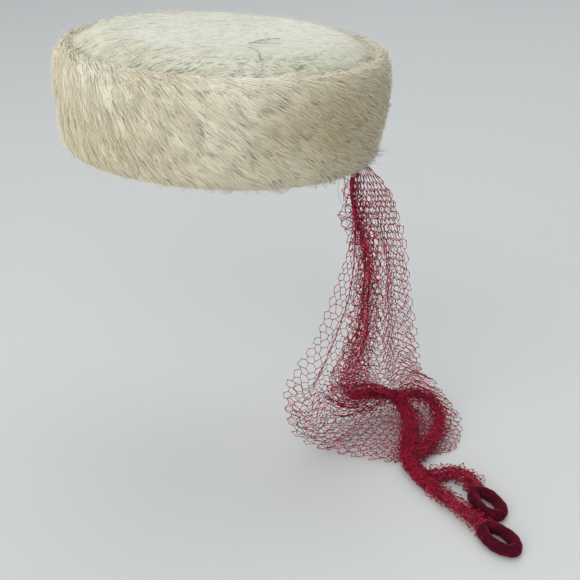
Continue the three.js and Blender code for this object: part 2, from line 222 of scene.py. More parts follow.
def joined_mesh(name, points, faces, material, tints):
    """One object from arrays of points in millimetres and lists of equal-sided faces."""
    mesh = bpy.data.meshes.new(name)
    corners = np.concatenate([group.ravel() for group in faces]).astype(np.int32)
    sizes = np.concatenate([np.full(len(group), group.shape[1]) for group in faces])
    mesh.vertices.add(len(points))
    mesh.vertices.foreach_set("co", (points * MM).ravel())
    mesh.loops.add(len(corners))
    mesh.loops.foreach_set("vertex_index", corners)
    mesh.polygons.add(len(sizes))
    starts = np.concatenate([[0], np.cumsum(sizes)[:-1]]).astype(np.int32)
    mesh.polygons.foreach_set("loop_start", starts)
    mesh.update(calc_edges=True)
    mesh.attributes.new("tint", "FLOAT", "POINT").data.foreach_set("value", tints)
    mesh.polygons.foreach_set("use_smooth", np.ones(len(sizes), bool))
    mesh.materials.append(material)
    piece = bpy.data.objects.new(name, mesh)
    scene.collection.objects.link(piece)
    print(f"{name}: {int((sizes - 2).sum())} triangles")
    return piece


def tube_arrays(paths, widths, upward, tapered):
    """Three-sided tubes along paths of shape (tubes, steps, 3). A tapered one ends in a
    point. Returns the points, the faces, and which path point each point belongs to."""
    tubes, steps = paths.shape[:2]
    ahead = unit(np.gradient(paths, axis=1))
    aside = unit(np.cross(ahead, upward))
    above = np.cross(aside, ahead)
    half = widths[..., None] / 2
    rings = np.stack([paths - aside * half, paths + aside * half, paths + above * half], 2)
    number = np.arange(tubes * steps * 3).reshape(tubes, steps, 3)
    bands = number[:, :-2] if tapered else number[:, :-1]
    beyond = number[:, 1:-1] if tapered else number[:, 1:]
    nearer, further = np.roll(bands, -1, 2), np.roll(beyond, -1, 2)
    quads = np.stack([bands, nearer, further, beyond], -1).reshape(-1, 4)
    if not tapered:
        owner = np.repeat(np.arange(tubes * steps), 3)
        return rings.reshape(-1, 3), [quads], owner
    tip_first = tubes * (steps - 1) * 3
    kept = np.full(tubes * steps * 3, -1)
    kept[number[:, :-1].ravel()] = np.arange(tip_first)
    last = number[:, -2]
    tips = np.repeat(tip_first + np.arange(tubes), 3).reshape(tubes, 3)
    ends = np.stack([kept[last], kept[np.roll(last, -1, 1)], tips], -1).reshape(-1, 3)
    points = np.concatenate([rings[:, :-1].reshape(-1, 3), paths[:, -1]])
    owner = np.concatenate([
        np.repeat(np.arange(tubes * steps).reshape(tubes, steps)[:, :-1].ravel(), 3),
        np.arange(tubes) * steps + steps - 1,
    ])
    return points, [kept[quads], ends], owner


def piece_of_tubes(name, paths, widths, upward, tints, material, tapered=False):
    """One object of many thin tubes, each with its own tint at every step."""
    points, faces, owner = tube_arrays(paths, widths, upward, tapered)
    tints = np.broadcast_to(tints, widths.shape).ravel()[owner].astype(np.float32)
    return joined_mesh(name, points, faces, material, tints)


def points_of(piece):
    """A piece's points, in Blender's own units."""
    places = np.empty(len(piece.data.vertices) * 3)
    piece.data.vertices.foreach_get("co", places)
    return places.reshape(-1, 3)


def set_points(piece, places):
    """Moves a piece's points to places in millimetres."""
    piece.data.vertices.foreach_set("co", (places * MM).ravel())
    piece.data.update()


def apply_modifier(kind, **settings):
    """Adds a modifier to the active object and applies it at once."""
    piece = bpy.context.object
    modifier = piece.modifiers.new(kind.lower(), kind)
    for name, value in settings.items():
        setattr(modifier, name, value)
    bpy.ops.object.modifier_apply(modifier=modifier.name)


def raise_ovals(name, rows, sides):
    """A skin raised ring by ring: one circle, extruded and resized for every row of
    half length, half breadth and height. It stays in edit mode, last ring selected."""
    bpy.ops.object.select_all(action="DESELECT")
    bpy.ops.mesh.primitive_circle_add(vertices=sides, radius=MM)
    bpy.context.object.name = name
    bpy.ops.object.mode_set(mode="EDIT")
    bpy.ops.mesh.select_all(action="SELECT")
    before = (1.0, 1.0, 0.0)
    for step, row in enumerate(rows):
        if step:
            bpy.ops.mesh.extrude_region_move()
        bpy.ops.transform.resize(value=(row[0] / before[0], row[1] / before[1], 1))
        bpy.ops.transform.translate(value=(0, 0, (row[2] - before[2]) * MM))
        before = row
    return bpy.context.object


# %% [markdown]
# ## Finishes
#
# The nap is ivory: warm on the cuff, with tan patches, and almost white on the tip. Some
# of its patches are painted shade, in the cuff's hollow, near the back, at the front and
# in the groove's dip, and one along the ridge is a painted highlight. Each hair is painted
# a little darker at its root, as shade deep in the nap, and a little paler in the middle
# of its lock, as a painted highlight. A hair stands for a wisp of many real hairs, so it
# is partly see-through. The net is crimson thread. The loops are wine velvet, whose pile
# is dark where it is seen straight on and red where it is seen from the side.

# %% A shared group: soft patches of tone


def patch_group():
    """Mixes two colours by the hair's or thread's own tint, which on the nap carries
    painted shade and painted highlights, and by soft patches.
    """
    group = bpy.data.node_groups.new("patches", "ShaderNodeTree")
    sockets = group.interface
    for name in ("Pale", "Deep"):
        sockets.new_socket(name, in_out="INPUT", socket_type="NodeSocketColor")
    for name in ("Patch Scale", "Patch Share"):
        sockets.new_socket(name, in_out="INPUT", socket_type="NodeSocketFloat")
    sockets.new_socket("Color", in_out="OUTPUT", socket_type="NodeSocketColor")
    given = add_node(group, "NodeGroupInput")
    made = add_node(group, "NodeGroupOutput")
    place = add_node(group, "ShaderNodeTexCoord")
    cloud = add_node(group, "ShaderNodeTexNoise", {"Detail": 3.0, "Roughness": 0.55})
    tint = add_node(group, "ShaderNodeAttribute", attribute_name="tint")
    centred = add_node(group, "ShaderNodeMath", {1: 0.5}, operation="SUBTRACT")
    shared = add_node(group, "ShaderNodeMath", operation="MULTIPLY")
    summed = add_node(group, "ShaderNodeMath", operation="ADD", use_clamp=True)
    mixed = add_node(group, "ShaderNodeMix", data_type="RGBA")
    link = group.links.new
    link(place.outputs["Object"], cloud.inputs["Vector"])
    link(given.outputs["Patch Scale"], cloud.inputs["Scale"])
    link(cloud.outputs["Fac"], centred.inputs[0])
    link(centred.outputs[0], shared.inputs[0])
    link(given.outputs["Patch Share"], shared.inputs[1])
    link(shared.outputs[0], summed.inputs[0])
    link(tint.outputs["Fac"], summed.inputs[1])
    link(summed.outputs[0], mixed.inputs["Factor"])
    link(given.outputs["Deep"], mixed.inputs["A"])
    link(given.outputs["Pale"], mixed.inputs["B"])
    link(mixed.outputs["Result"], made.inputs["Color"])
    return group


PATCHES = patch_group()


def patchy_material(name, pale, deep, patch_scale, patch_share, values):
    """A material whose colour runs from deep to pale with the tint and the patches."""
    material, tree, surface = new_material(name, values)
    patches = add_node(tree, "ShaderNodeGroup", node_tree=PATCHES)
    patches.inputs["Pale"].default_value = colour(*pale)
    patches.inputs["Deep"].default_value = colour(*deep)
    patches.inputs["Patch Scale"].default_value = patch_scale
    patches.inputs["Patch Share"].default_value = patch_share
    tree.links.new(patches.outputs["Color"], surface.inputs["Base Color"])
    return material, tree, surface


# %% The materials
NAP_VALUES = {
    "Roughness": 0.62,
    "Specular IOR Level": 0.3,
    "Sheen Weight": 0.25,
    "Sheen Roughness": 0.4,
    "Alpha": 0.6,
}
FELT_VALUES = NAP_VALUES | {"Alpha": 1.0}
THREAD_VALUES = {"Roughness": 0.6, "Specular IOR Level": 0.15}
VELVET_VALUES = {
    "Roughness": 0.9,
    "Specular IOR Level": 0.1,
    "Sheen Weight": 1.0,
    "Sheen Roughness": 0.32,
}

cuff_nap_material, *_ = patchy_material(
    "cuff_nap", (252, 247, 229), (221, 207, 172), 26.0, 0.7, NAP_VALUES)
crown_nap_material, *_ = patchy_material(
    "crown_nap", (246, 246, 234), (230, 229, 213), 20.0, 0.4, NAP_VALUES)
groove_nap_material, *_ = patchy_material(
    "groove_nap", (243, 242, 226), (220, 218, 197), 24.0, 0.5, NAP_VALUES)
net_material, *_ = patchy_material(
    "net_thread", (206, 40, 76), (62, 5, 18), 60.0, 0.4, THREAD_VALUES)
stray_material, *_ = patchy_material(
    "stray_hair", (92, 84, 70), (40, 36, 30), 90.0, 0.5, {"Roughness": 0.5})


def raise_fibres(tree, surface, scale, detail, strength, distance):
    """Gives a surface a fine bump of fibres."""
    place = add_node(tree, "ShaderNodeTexCoord")
    fibres = add_node(tree, "ShaderNodeTexNoise", {"Scale": scale, "Detail": detail})
    raised = add_node(tree, "ShaderNodeBump", {"Strength": strength, "Distance": distance})
    tree.links.new(place.outputs["Object"], fibres.inputs["Vector"])
    tree.links.new(fibres.outputs["Fac"], raised.inputs["Height"])
    tree.links.new(raised.outputs["Normal"], surface.inputs["Normal"])


def felt_material(name, pale, deep):
    """The matted felt under the nap, with the same patches."""
    material, tree, surface = patchy_material(name, pale, deep, 30.0, 0.8, FELT_VALUES)
    raise_fibres(tree, surface, scale=900.0, detail=4.0, strength=0.3, distance=0.0003)
    return material


def velvet_material():
    """Dark pile with soft streaks where it is pressed, and a red sheen from the side."""
    material, tree, surface = patchy_material(
        "wine_velvet", (142, 14, 52), (58, 6, 22), 160.0, 1.2, VELVET_VALUES
    )
    surface.inputs["Sheen Tint"].default_value = colour(214, 62, 96)
    raise_fibres(tree, surface, scale=2600.0, detail=3.0, strength=0.6, distance=0.0004)
    return material


cuff_felt_material = felt_material("cuff_felt", (253, 245, 220), (242, 229, 196))
crown_felt_material = felt_material("crown_felt", (248, 248, 238), (236, 235, 220))
print("materials:", len(bpy.data.materials))

# %% [markdown]
# ## The crown
#
# The real crown is a felt cap blocked over a wooden form: straight sides, a broad soft
# shoulder and a slightly domed tip. Here its outside is one circle, extruded and resized
# for every row of its profile and merged to a point at the top. The felt's thickness
# goes inwards, and a subdivision rounds the shoulder.

# %% Crown: sizes and profile
HAT_LENGTH, HAT_BREADTH = 216.0, 190.0
CROWN_HEIGHT, CROWN_LIFT = 75.0, 3.0
TIP_INSET, FELT_THICKNESS = 19.0, 2.0
CUFF_HEIGHT, CUFF_THICKNESS = 66.0, 13.0
FIT_GAP, NAP_DEPTH = 0.3, 2.6
CROWN_HALF = (HAT_LENGTH / 2 - CUFF_THICKNESS - FIT_GAP, HAT_BREADTH / 2 - CUFF_THICKNESS - FIT_GAP)
TIP_HALF = (CROWN_HALF[0] - TIP_INSET, CROWN_HALF[1] - TIP_INSET)
CROWN_RISE = CROWN_HEIGHT - CROWN_LIFT

# Insets are shares of the tip's inset, heights are shares of the rise.
CROWN_PROFILE = np.array([
    # inset height
    (0.0, 0.0),
    (0.02, 0.74),
    (0.12, 0.83),
    (0.3, 0.9),
    (0.6, 0.955),
    (1.0, 0.985),
])


def crown_rows():
    rows = [
        (CROWN_HALF[0] - inset * TIP_INSET, CROWN_HALF[1] - inset * TIP_INSET,
         CROWN_LIFT + height * CROWN_RISE)
        for inset, height in CROWN_PROFILE
    ]
    edge = CROWN_PROFILE[-1, 1]
    rows += [
        (TIP_HALF[0] * share, TIP_HALF[1] * share, CROWN_LIFT + CROWN_RISE * (1 - (1 - edge) * share**2))
        for share in (0.75, 0.5, 0.25, 0.03)
    ]
    return rows


def crown_height_at(x, y):
    """The height of the crown's outside over a point of the plan."""
    inset = np.zeros_like(x)
    for _ in range(12):
        size = np.hypot(x / (CROWN_HALF[0] - inset), y / (CROWN_HALF[1] - inset))
        inset = np.clip(inset + (1 - size) * CROWN_HALF[1] * 0.8, 0, TIP_INSET)
    side = np.interp(inset / TIP_INSET, CROWN_PROFILE[:, 0], CROWN_PROFILE[:, 1])
    share = np.hypot(x / TIP_HALF[0], y / TIP_HALF[1])
    dome = 1 - (1 - CROWN_PROFILE[-1, 1]) * share**2
    return CROWN_LIFT + CROWN_RISE * np.where(inset >= TIP_INSET - 0.05, dome, side)


# %% Crown: the skin
crown = raise_ovals("crown_skin", crown_rows(), 96)
bpy.ops.mesh.merge(type="CENTER")
bpy.ops.mesh.select_all(action="SELECT")
bpy.ops.mesh.normals_make_consistent(inside=False)
bpy.ops.object.mode_set(mode="OBJECT")
apply_modifier("SOLIDIFY", thickness=FELT_THICKNESS * MM, offset=-1)
apply_modifier("SUBSURF", levels=1)
bpy.ops.object.shade_smooth()
crown.data.materials.append(crown_felt_material)
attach(crown, "root")
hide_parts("crown")
print("crown:", len(crown.data.polygons), "faces")

# %% [markdown]
# ## The cuff
#
# The cuff is a band of the same felt, rolled to a thick soft ring with a rounded ridge.
# Its section is a table from the groove over the ridge, down the outside and round the
# lower roll. It is raised as the crown is, its two ends are bridged, and then swells and
# hollows from a second table move its points in and out.

# %% Cuff: sizes, section and swells
# Bulges are shares of the thickness, heights are shares of the cuff's height.
CUFF_SECTION = np.array([
    # bulge height
    (0.0, 0.82),
    (0.12, 0.92),
    (0.34, 0.985),
    (0.58, 1.0),
    (0.8, 0.955),
    (0.94, 0.85),
    (1.0, 0.68),
    (0.99, 0.46),
    (0.95, 0.26),
    (0.83, 0.1),
    (0.58, 0.015),
    (0.3, 0.01),
    (0.08, 0.06),
    (0.0, 0.14),
])
CUFF_SWELLS = {
    # place: turn in degrees, height, spread in degrees, tall, swell
    "front brow": (180, 0.75, 70, 0.4, 0.06),
    "front waist": (180, 0.4, 50, 0.25, -0.14),
    "front foot": (185, 0.12, 60, 0.3, -0.16),
    "side belly": (-112, 0.3, 60, 0.4, 0.08),
    "seam dip": (-62, 0.55, 22, 0.6, -0.1),
    "back foot": (0, 0.1, 70, 0.5, -0.3),
    "far belly": (105, 0.35, 60, 0.4, 0.06),
    "far dip": (60, 0.6, 24, 0.6, -0.08),
}
CUFF_REACH = CUFF_THICKNESS - NAP_DEPTH
MEAN_RADIUS = (HAT_LENGTH + HAT_BREADTH) / 4
SECTION_STEPS = np.diff(CUFF_SECTION, axis=0) * (CUFF_THICKNESS, CUFF_HEIGHT)
CUFF_DROPS = np.concatenate([[0], np.cumsum(np.linalg.norm(SECTION_STEPS, axis=1))])


def cuff_swell(turn, height):
    """How far the roll swells at a turn round the hat and a height share."""
    total = 0.0
    for middle, level, spread, tall, swell in CUFF_SWELLS.values():
        away = np.angle(np.exp(1j * (turn - math.radians(middle))))
        total = total + swell * bump(away, math.radians(spread)) * bump(height - level, tall)
    return total


def cuff_place(turn, drop):
    """A point of the cuff's skin, by its turn and its way down the section."""
    row = np.interp(drop, CUFF_DROPS, np.arange(len(CUFF_DROPS)))
    bulge, height = np.moveaxis(along_rows(CUFF_SECTION, row), -1, 0)
    out = FIT_GAP + bulge * (1 + cuff_swell(turn, height)) * CUFF_REACH
    return np.stack(
        [(CROWN_HALF[0] + out) * np.cos(turn), (CROWN_HALF[1] + out) * np.sin(turn),
         height * CUFF_HEIGHT], -1)


# %% Cuff: the skin
cuff_rows = [
    (CROWN_HALF[0] + FIT_GAP + bulge * CUFF_REACH, CROWN_HALF[1] + FIT_GAP + bulge * CUFF_REACH,
     height * CUFF_HEIGHT)
    for bulge, height in CUFF_SECTION
]
cuff = raise_ovals("cuff_skin", cuff_rows, 120)
bpy.ops.mesh.select_mode(type="EDGE")
bpy.ops.mesh.select_all(action="DESELECT")
bpy.ops.mesh.select_non_manifold()
bpy.ops.mesh.bridge_edge_loops()
bpy.ops.mesh.select_all(action="SELECT")
bpy.ops.mesh.normals_make_consistent(inside=False)
bpy.ops.object.mode_set(mode="OBJECT")


def swell_cuff(piece):
    """Moves the skin's points in and out by the table of swells."""
    places = points_of(piece) / MM
    inner = np.array(CROWN_HALF) + FIT_GAP
    turn = np.arctan2(places[:, 1] / inner[1], places[:, 0] / inner[0])
    out = np.linalg.norm(places[:, :2] - np.stack([np.cos(turn), np.sin(turn)], -1) * inner, axis=1)
    more = out * cuff_swell(turn, places[:, 2] / CUFF_HEIGHT)
    places[:, 0] += more * np.cos(turn)
    places[:, 1] += more * np.sin(turn)
    set_points(piece, places)


swell_cuff(cuff)
apply_modifier("SUBSURF", levels=1)
bpy.ops.object.shade_smooth()
cuff.data.materials.append(cuff_felt_material)
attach(cuff, "root")
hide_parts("cuff")
print("cuff:", len(cuff.data.polygons), "faces")

# %% [markdown]
# ## The nap
#
# The nap is the long fur of the felt, brushed flat. Its hairs are 10 to 30 mm long and
# lie close to the skin in flat locks. On the cuff they start at the front, where they
# fall steeply, and sweep round both sides to the back, where they lie just under 30
# degrees from level. On the tip they run from the front to the back. Every hair walks
# over the skin from its root, so it follows the roll, and it is drawn towards the middle
# of its lock. Locks have a length, a lift, a lean and a tone of their own.

# %% Nap: one way to grow it on any skin
random = np.random.default_rng(23)
LOCK_KINDS = 4096
WALK_STEP = 0.4
# A hair's lift follows this much of a sine, in radians, so that its tip bends back.
HAIR_ARCH = 2.3
ROUND_THE_HAT = 2 * np.pi * MEAN_RADIUS
NAP_PATCHES = {
    # place: millimetres round the cuff and down its section, half width, half height, tone
    # Painted shade, towards the deeper tan: in the hollow of the seam dip, and low near the back.
    "painted shade in the hollow": (-102, 36, 56, 40, -0.55),
    "painted shade near the back": (-62, 50, 50, 40, -0.32),
    "pale side": (-170, 44, 44, 30, 0.22),
    # Painted shade on the front of the near side.
    "painted shade at the near front": (-236, 44, 60, 44, -0.2),
    # A painted highlight along the ridge.
    "painted highlight on the ridge": (-150, 17, 90, 12, 0.18),
    "shade in front": (-292, 24, 40, 30, -0.25),
}


def tone_and_painted_light(roots, patches):
    """The tone of the nap's soft patches by place on a skin: a slow random tone, and the
    listed patches, among them painted shade and a painted highlight.
    """
    tone = 0.14 * slow_noise(roots[:, 0] / 24, roots[:, 1] / 14, 77)
    for first, second, wide, tall, deeper in patches.values():
        away = np.minimum((roots[:, 0] - first) % ROUND_THE_HAT, (first - roots[:, 0]) % ROUND_THE_HAT)
        tone += deeper * bump(away, wide) * bump(roots[:, 1] - second, tall)
    return tone


def walk_over(place, first, second, lift, facing):
    """Points over a skin, lifted along its normal. Facing is 1, or -1 to turn it over."""
    here = place(first, second)
    way_one = place(first + WALK_STEP, second) - place(first - WALK_STEP, second)
    way_two = place(first, second + WALK_STEP) - place(first, second - WALK_STEP)
    outward = facing * unit(np.cross(way_one, way_two))
    return here + outward * lift[..., None], outward


def grow_nap(name, place, roots, heading, sizes, material):
    """Hairs on a skin: place takes millimetres both ways, heading is in radians."""
    steps = np.linspace(0, 1, sizes["steps"])
    count = len(roots)
    cell = np.floor(roots / sizes["lock"]).astype(int)
    kind = (cell[:, 0] * 7919 + cell[:, 1] * 10473) % LOCK_KINDS
    locks = random.random((LOCK_KINDS, 6))[kind]
    middle = (cell + 0.15 + 0.7 * locks[:, :2]) * sizes["lock"]
    way = heading(roots) + (locks[:, 2] - 0.5) * sizes["lean"] + random.normal(0, 0.09, count)
    ahead = np.stack([np.cos(way), np.sin(way)], -1)
    across = np.stack([-ahead[:, 1], ahead[:, 0]], -1)
    pull = ((middle - roots) * across).sum(-1)
    length = sizes["length"] * (0.65 + 0.4 * locks[:, 3] + 0.35 * random.random(count))
    bend = random.normal(0, 0.1, count) + (locks[:, 5] - 0.5) * 0.25
    run = steps[None, :] * length[:, None]
    side = pull[:, None] * sizes["gather"] * steps**0.7 + bend[:, None] * run * steps
    path = roots[:, None] + ahead[:, None] * run[..., None] + across[:, None] * side[..., None]
    crest = 1 - np.minimum(np.abs(pull) / (0.6 * sizes["lock"]), 1) ** 2
    rise = sizes["lift"] * (0.5 + 0.25 * locks[:, 4] + 0.4 * random.random(count) * crest)
    wild = random.random(count) < sizes["wild"]
    rise = rise + wild * random.random(count) * sizes["wild_lift"]
    lift = -sizes["root"] + (rise[:, None] + sizes["root"]) * np.sin(HAIR_ARCH * steps)
    points, outward = walk_over(place, path[..., 0], path[..., 1], lift, sizes["facing"])
    taper = 1 - 0.35 * steps
    widths = sizes["width"] * (0.7 + 0.6 * random.random(count))[:, None] * taper
    widths = widths * np.where(wild, 0.5, 1)[:, None]
    tone = 0.5 + tone_and_painted_light(roots, sizes["patches"]) + 0.06 * (locks[:, 5] - 0.5)
    tone = tone + 0.2 * (random.random(count) - 0.5)
    # Painted shade and highlight: each hair is darker at its root, as shade deep in the nap, and paler in
    # the middle of its lock.
    tints = (tone + 0.06 * crest)[:, None] + 0.1 * steps
    return piece_of_tubes(name, points, widths, outward, tints, material, tapered=True)


# %% Nap of the cuff
# Sizes are in millimetres, the lean in radians. Wild hairs stand up from the rest.
CUFF_NAP = {
    "facing": -1, "steps": 3, "lock": 9.0, "lean": 0.26, "length": 21.0, "gather": 0.3,
    "root": 0.3, "lift": 1.2, "width": 0.95, "wild": 0.14, "wild_lift": 4.0,
    "patches": NAP_PATCHES,
}
CUFF_HAIRS = 50000
# The roots keep this far from the first and the last drop of the section.
CUFF_NAP_EDGES = (3.0, 5.0)
NAP_SLOPE_FRONT, NAP_SLOPE_BACK = math.radians(66), math.radians(28)
CUFF_QUARTERS = {
    "cuff_nap_front": (135, 225),
    "cuff_nap_near": (225, 315),
    "cuff_nap_back": (-45, 45),
    "cuff_nap_far": (45, 135),
}


def cuff_skin_place(round_mm, drop):
    turn = round_mm / MEAN_RADIUS
    return cuff_place(turn, np.clip(drop, 0.2, CUFF_DROPS[-1] - 0.5))


def cuff_heading(roots):
    """Down and backwards: steep at the front, shallow at the back, flat on the ridge."""
    turn = roots[:, 0] / MEAN_RADIUS
    front = ((1 - np.cos(turn)) / 2) ** 1.6
    slope = NAP_SLOPE_BACK + (NAP_SLOPE_FRONT - NAP_SLOPE_BACK) * front
    slope = slope * np.clip(0.35 + roots[:, 1] / 34, 0.35, 1)
    backwards = np.tanh(-np.sin(turn) * 9)
    return np.arctan2(np.sin(slope), np.cos(slope) * backwards)


for quarter, (first_turn, last_turn) in CUFF_QUARTERS.items():
    hairs = CUFF_HAIRS // len(CUFF_QUARTERS)
    turns = np.radians(first_turn + (last_turn - first_turn) * random.random(hairs))
    drops = CUFF_NAP_EDGES[0] + (CUFF_DROPS[-1] - sum(CUFF_NAP_EDGES)) * random.random(hairs)
    nap = grow_nap(
        quarter, cuff_skin_place, np.stack([turns * MEAN_RADIUS, drops], -1),
        cuff_heading, CUFF_NAP, cuff_nap_material)
    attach(nap, "root")

# %% Nap of the crown
CROWN_NAP = {
    "facing": 1, "steps": 3, "lock": 9.0, "lean": 0.2, "length": 17.0, "gather": 0.12,
    "root": 0.2, "lift": 0.4, "width": 0.7, "wild": 0.02, "wild_lift": 1.6,
    "patches": {},
}
CROWN_HAIRS = 13000


def crown_place(x, y):
    return np.stack([x, y, crown_height_at(x, y)], -1)


def crown_heading(roots):
    """From the front to the back, fanned out a little by a slow swirl."""
    share = np.hypot(roots[:, 0] / CROWN_HALF[0], roots[:, 1] / CROWN_HALF[1])
    turn = np.arctan2(roots[:, 1] / CROWN_HALF[1], roots[:, 0] / CROWN_HALF[0])
    swirl = np.interp(share, (0.0, 0.28, 0.7, 1.0), (0.0, 14.0, -18.0, -24.0))
    return np.radians(swirl) * np.sin(turn)


def oval_scatter(count, half_length, half_breadth):
    turn = 2 * np.pi * random.random(count)
    share = np.sqrt(random.random(count))
    return np.stack([half_length * share * np.cos(turn), half_breadth * share * np.sin(turn)], -1)


crown_nap = grow_nap(
    "crown_nap", crown_place, oval_scatter(CROWN_HAIRS, CROWN_HALF[0] - 1, CROWN_HALF[1] - 1),
    crown_heading, CROWN_NAP, crown_nap_material)
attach(crown_nap, "root")

# %% [markdown]
# The fur of the shoulder and of the ridge meets over the groove between the crown and
# the cuff, and hides it but for a soft dip, with painted shade along it. These hairs lie
# on a skin of their own that sags from the shoulder to the ridge, and run on towards the
# back.

# %% Nap over the groove
GROOVE_SAG = np.array([
    # out from the crown's wall, height
    (-46.0, 74.4),
    (-30.0, 74.1),
    (-22.0, 73.9),
    (-14.0, 72.7),
    (-7.0, 69.3),
    (-1.0, 65.4),
    (4.0, 64.6),
    (8.0, 64.3),
    (10.5, 61.0),
])
GROOVE_NAP = {
    "facing": -1, "steps": 3, "lock": 7.0, "lean": 0.4, "length": 15.0, "gather": 0.25,
    "root": 0.7, "lift": 0.6, "width": 0.9, "wild": 0.06, "wild_lift": 2.6,
    "patches": {
        # Painted shade in the dip all round, and on the front of the near side.
        "painted shade in the dip": (478, 1, 400, 9, -0.3),
        "painted shade at the near front": (385, -10, 90, 22, -0.35),
    },
}
GROOVE_HAIRS = 12000
# The least, the most common and the greatest way out of a root.
GROOVE_ROOTS = (-27, -6, 6)


def groove_place(round_mm, out):
    """A point over the groove, by its way round the hat and out from the crown's wall."""
    turn = round_mm / MEAN_RADIUS
    out = np.minimum(out, GROOVE_SAG[-1, 0] - 0.5)
    row = np.interp(out, GROOVE_SAG[:, 0], np.arange(len(GROOVE_SAG)))
    height = along_rows(GROOVE_SAG, row)[..., 1]
    return np.stack(
        [(CROWN_HALF[0] + out) * np.cos(turn), (CROWN_HALF[1] + out) * np.sin(turn), height], -1)


def groove_heading(roots):
    """Backwards along the ridge; over the ends, straight across from front to back."""
    turn = roots[:, 0] / MEAN_RADIUS
    return np.arctan2(0.8 * np.cos(turn) - 0.2, -np.sin(turn))


round_places = ROUND_THE_HAT * random.random(GROOVE_HAIRS)
groove_roots = np.stack([round_places, random.triangular(*GROOVE_ROOTS, GROOVE_HAIRS)], -1)
groove_nap = grow_nap(
    "groove_nap", groove_place, groove_roots, groove_heading, GROOVE_NAP, groove_nap_material)
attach(groove_nap, "root")

# %% Stray dark hairs that lie on the nap
# Each is a chain of places on the tip, in millimetres.
STRAYS = [
    ((17, -39), (21, -33), (26, -25), (30, -20)),
    ((21, -32), (26, -28), (31, -22), (36, -19)),
    ((18, -36), (24, -35), (30, -34), (37, -32)),
    ((17, -47), (22, -51), (25, -58), (26, -66)),
]
STRAY_STEPS, STRAY_LIFT, STRAY_WIDTH, STRAY_TINT = 12, 1.9, 0.34, 0.4


def stray_paths():
    paths = []
    for chain in STRAYS:
        flat = along_rows(chain, np.linspace(0, len(chain) - 1, STRAY_STEPS))
        height = crown_height_at(flat[:, 0], flat[:, 1]) + STRAY_LIFT
        paths.append(np.column_stack([flat, height]))
    return np.array(paths)


stray_widths = np.full((len(STRAYS), STRAY_STEPS), STRAY_WIDTH)
strays = piece_of_tubes(
    "stray_hairs", stray_paths(), stray_widths, np.array((0.0, 0.0, 1.0)), STRAY_TINT, stray_material)
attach(strays, "root")

# %% [markdown]
# ## The veil
#
# The veil is one piece of knotted net with cells about 7 mm wide. It is gathered inside
# the back of the rim, opens into two wings as it falls, turns over the floor in a loose
# bag and is drawn together again into a rope. Three routes lead it: its gathered middle,
# its left edge and its right edge. The net is worked out between them in layers, which
# are its folds: cells laid like bricks, thread by thread, with knots at their corners.

# %% Veil: sizes and routes
GATHER_THICKNESS = 6.0
GATHER_X = CROWN_HALF[0] - FELT_THICKNESS - FIT_GAP - GATHER_THICKNESS / 2
VEIL_REACH, VEIL_DEPTH, VEIL_DROP = 105.0, 90.0, 242.0
FOLD_DEPTH, FOLD_WAVES = 5.0, 3.4
ROPE_WIDTH, ROPE_THICKNESS = 14.0, 9.0
VEIL_FLOOR = -241.2

# Each row is a level of the fall: places are shares of the reach, the depth and the drop.
VEIL_ROWS = np.array([
    # bundle, then left edge, then right edge
    ((0, 0, 0.04), (-0.03, -0.09, 0), (-0.03, 0.09, 0)),
    ((-0.01, -0.01, -0.1), (0.0, -0.13, -0.12), (0.23, 0.11, -0.11)),
    ((0.05, 0, -0.2), (0.02, -0.17, -0.22), (0.33, 0.13, -0.21)),
    ((0.14, 0.02, -0.32), (-0.02, -0.19, -0.32), (0.41, 0.16, -0.34)),
    ((0.16, 0.07, -0.46), (-0.08, -0.19, -0.43), (0.46, 0.2, -0.47)),
    ((0.15, 0.13, -0.6), (-0.165, -0.13, -0.56), (0.53, 0.27, -0.61)),
    ((0.11, 0.22, -0.74), (-0.28, -0.07, -0.69), (0.61, 0.4, -0.74)),
    ((0.13, 0.46, -0.87), (-0.35, 0.04, -0.83), (0.75, 0.65, -0.86)),
    ((0.29, 0.66, -0.9), (-0.22, -0.05, -0.92), (0.88, 0.76, -0.92)),
    ((0.48, 0.76, -0.93), (0.07, -0.01, -0.98), (0.99, 0.57, -0.975)),
    ((0.59, 0.5, -0.95), (0.4, -0.05, -0.99), (0.93, 0.24, -0.985)),
    ((0.57, 0.11, -0.97), (0.54, -0.02, -0.99), (0.73, 0.08, -0.985)),
])
ROPE_PLACES = ((0.58, -0.12, -0.98), (0.66, -0.31, -0.98))
SIDE_FOLD = (
    (0.49, 0.77, -0.93), (0.68, 0.88, -0.94), (0.81, 0.74, -0.95),
    (0.82, 0.47, -0.96), (0.73, 0.2, -0.965), (0.62, -0.01, -0.97),
)
LOOPS = {
    "velvet_loop_upper": {
        "middle": (1.06, -0.59), "heading": -66,
        "tail": ((0.7, -0.28, -0.98), (0.78, -0.23, -0.98), (0.89, -0.21, -0.975), (0.98, -0.31, -0.975)),
    },
    "velvet_loop_lower": {
        "middle": (1.085, -1.03), "heading": -55,
        "tail": ((0.69, -0.38, -0.98), (0.76, -0.51, -0.98), (0.86, -0.67, -0.975), (0.95, -0.82, -0.975)),
    },
}
LOOP_LENGTH, LOOP_WIDTH, LOOP_TUBE = 38.0, 24.5, 9.0


def veil_place(shares):
    """Places from shares of the veil's reach, depth and drop."""
    return np.array((GATHER_X, 0, 0)) + np.asarray(shares, float) * (VEIL_REACH, VEIL_DEPTH, VEIL_DROP)


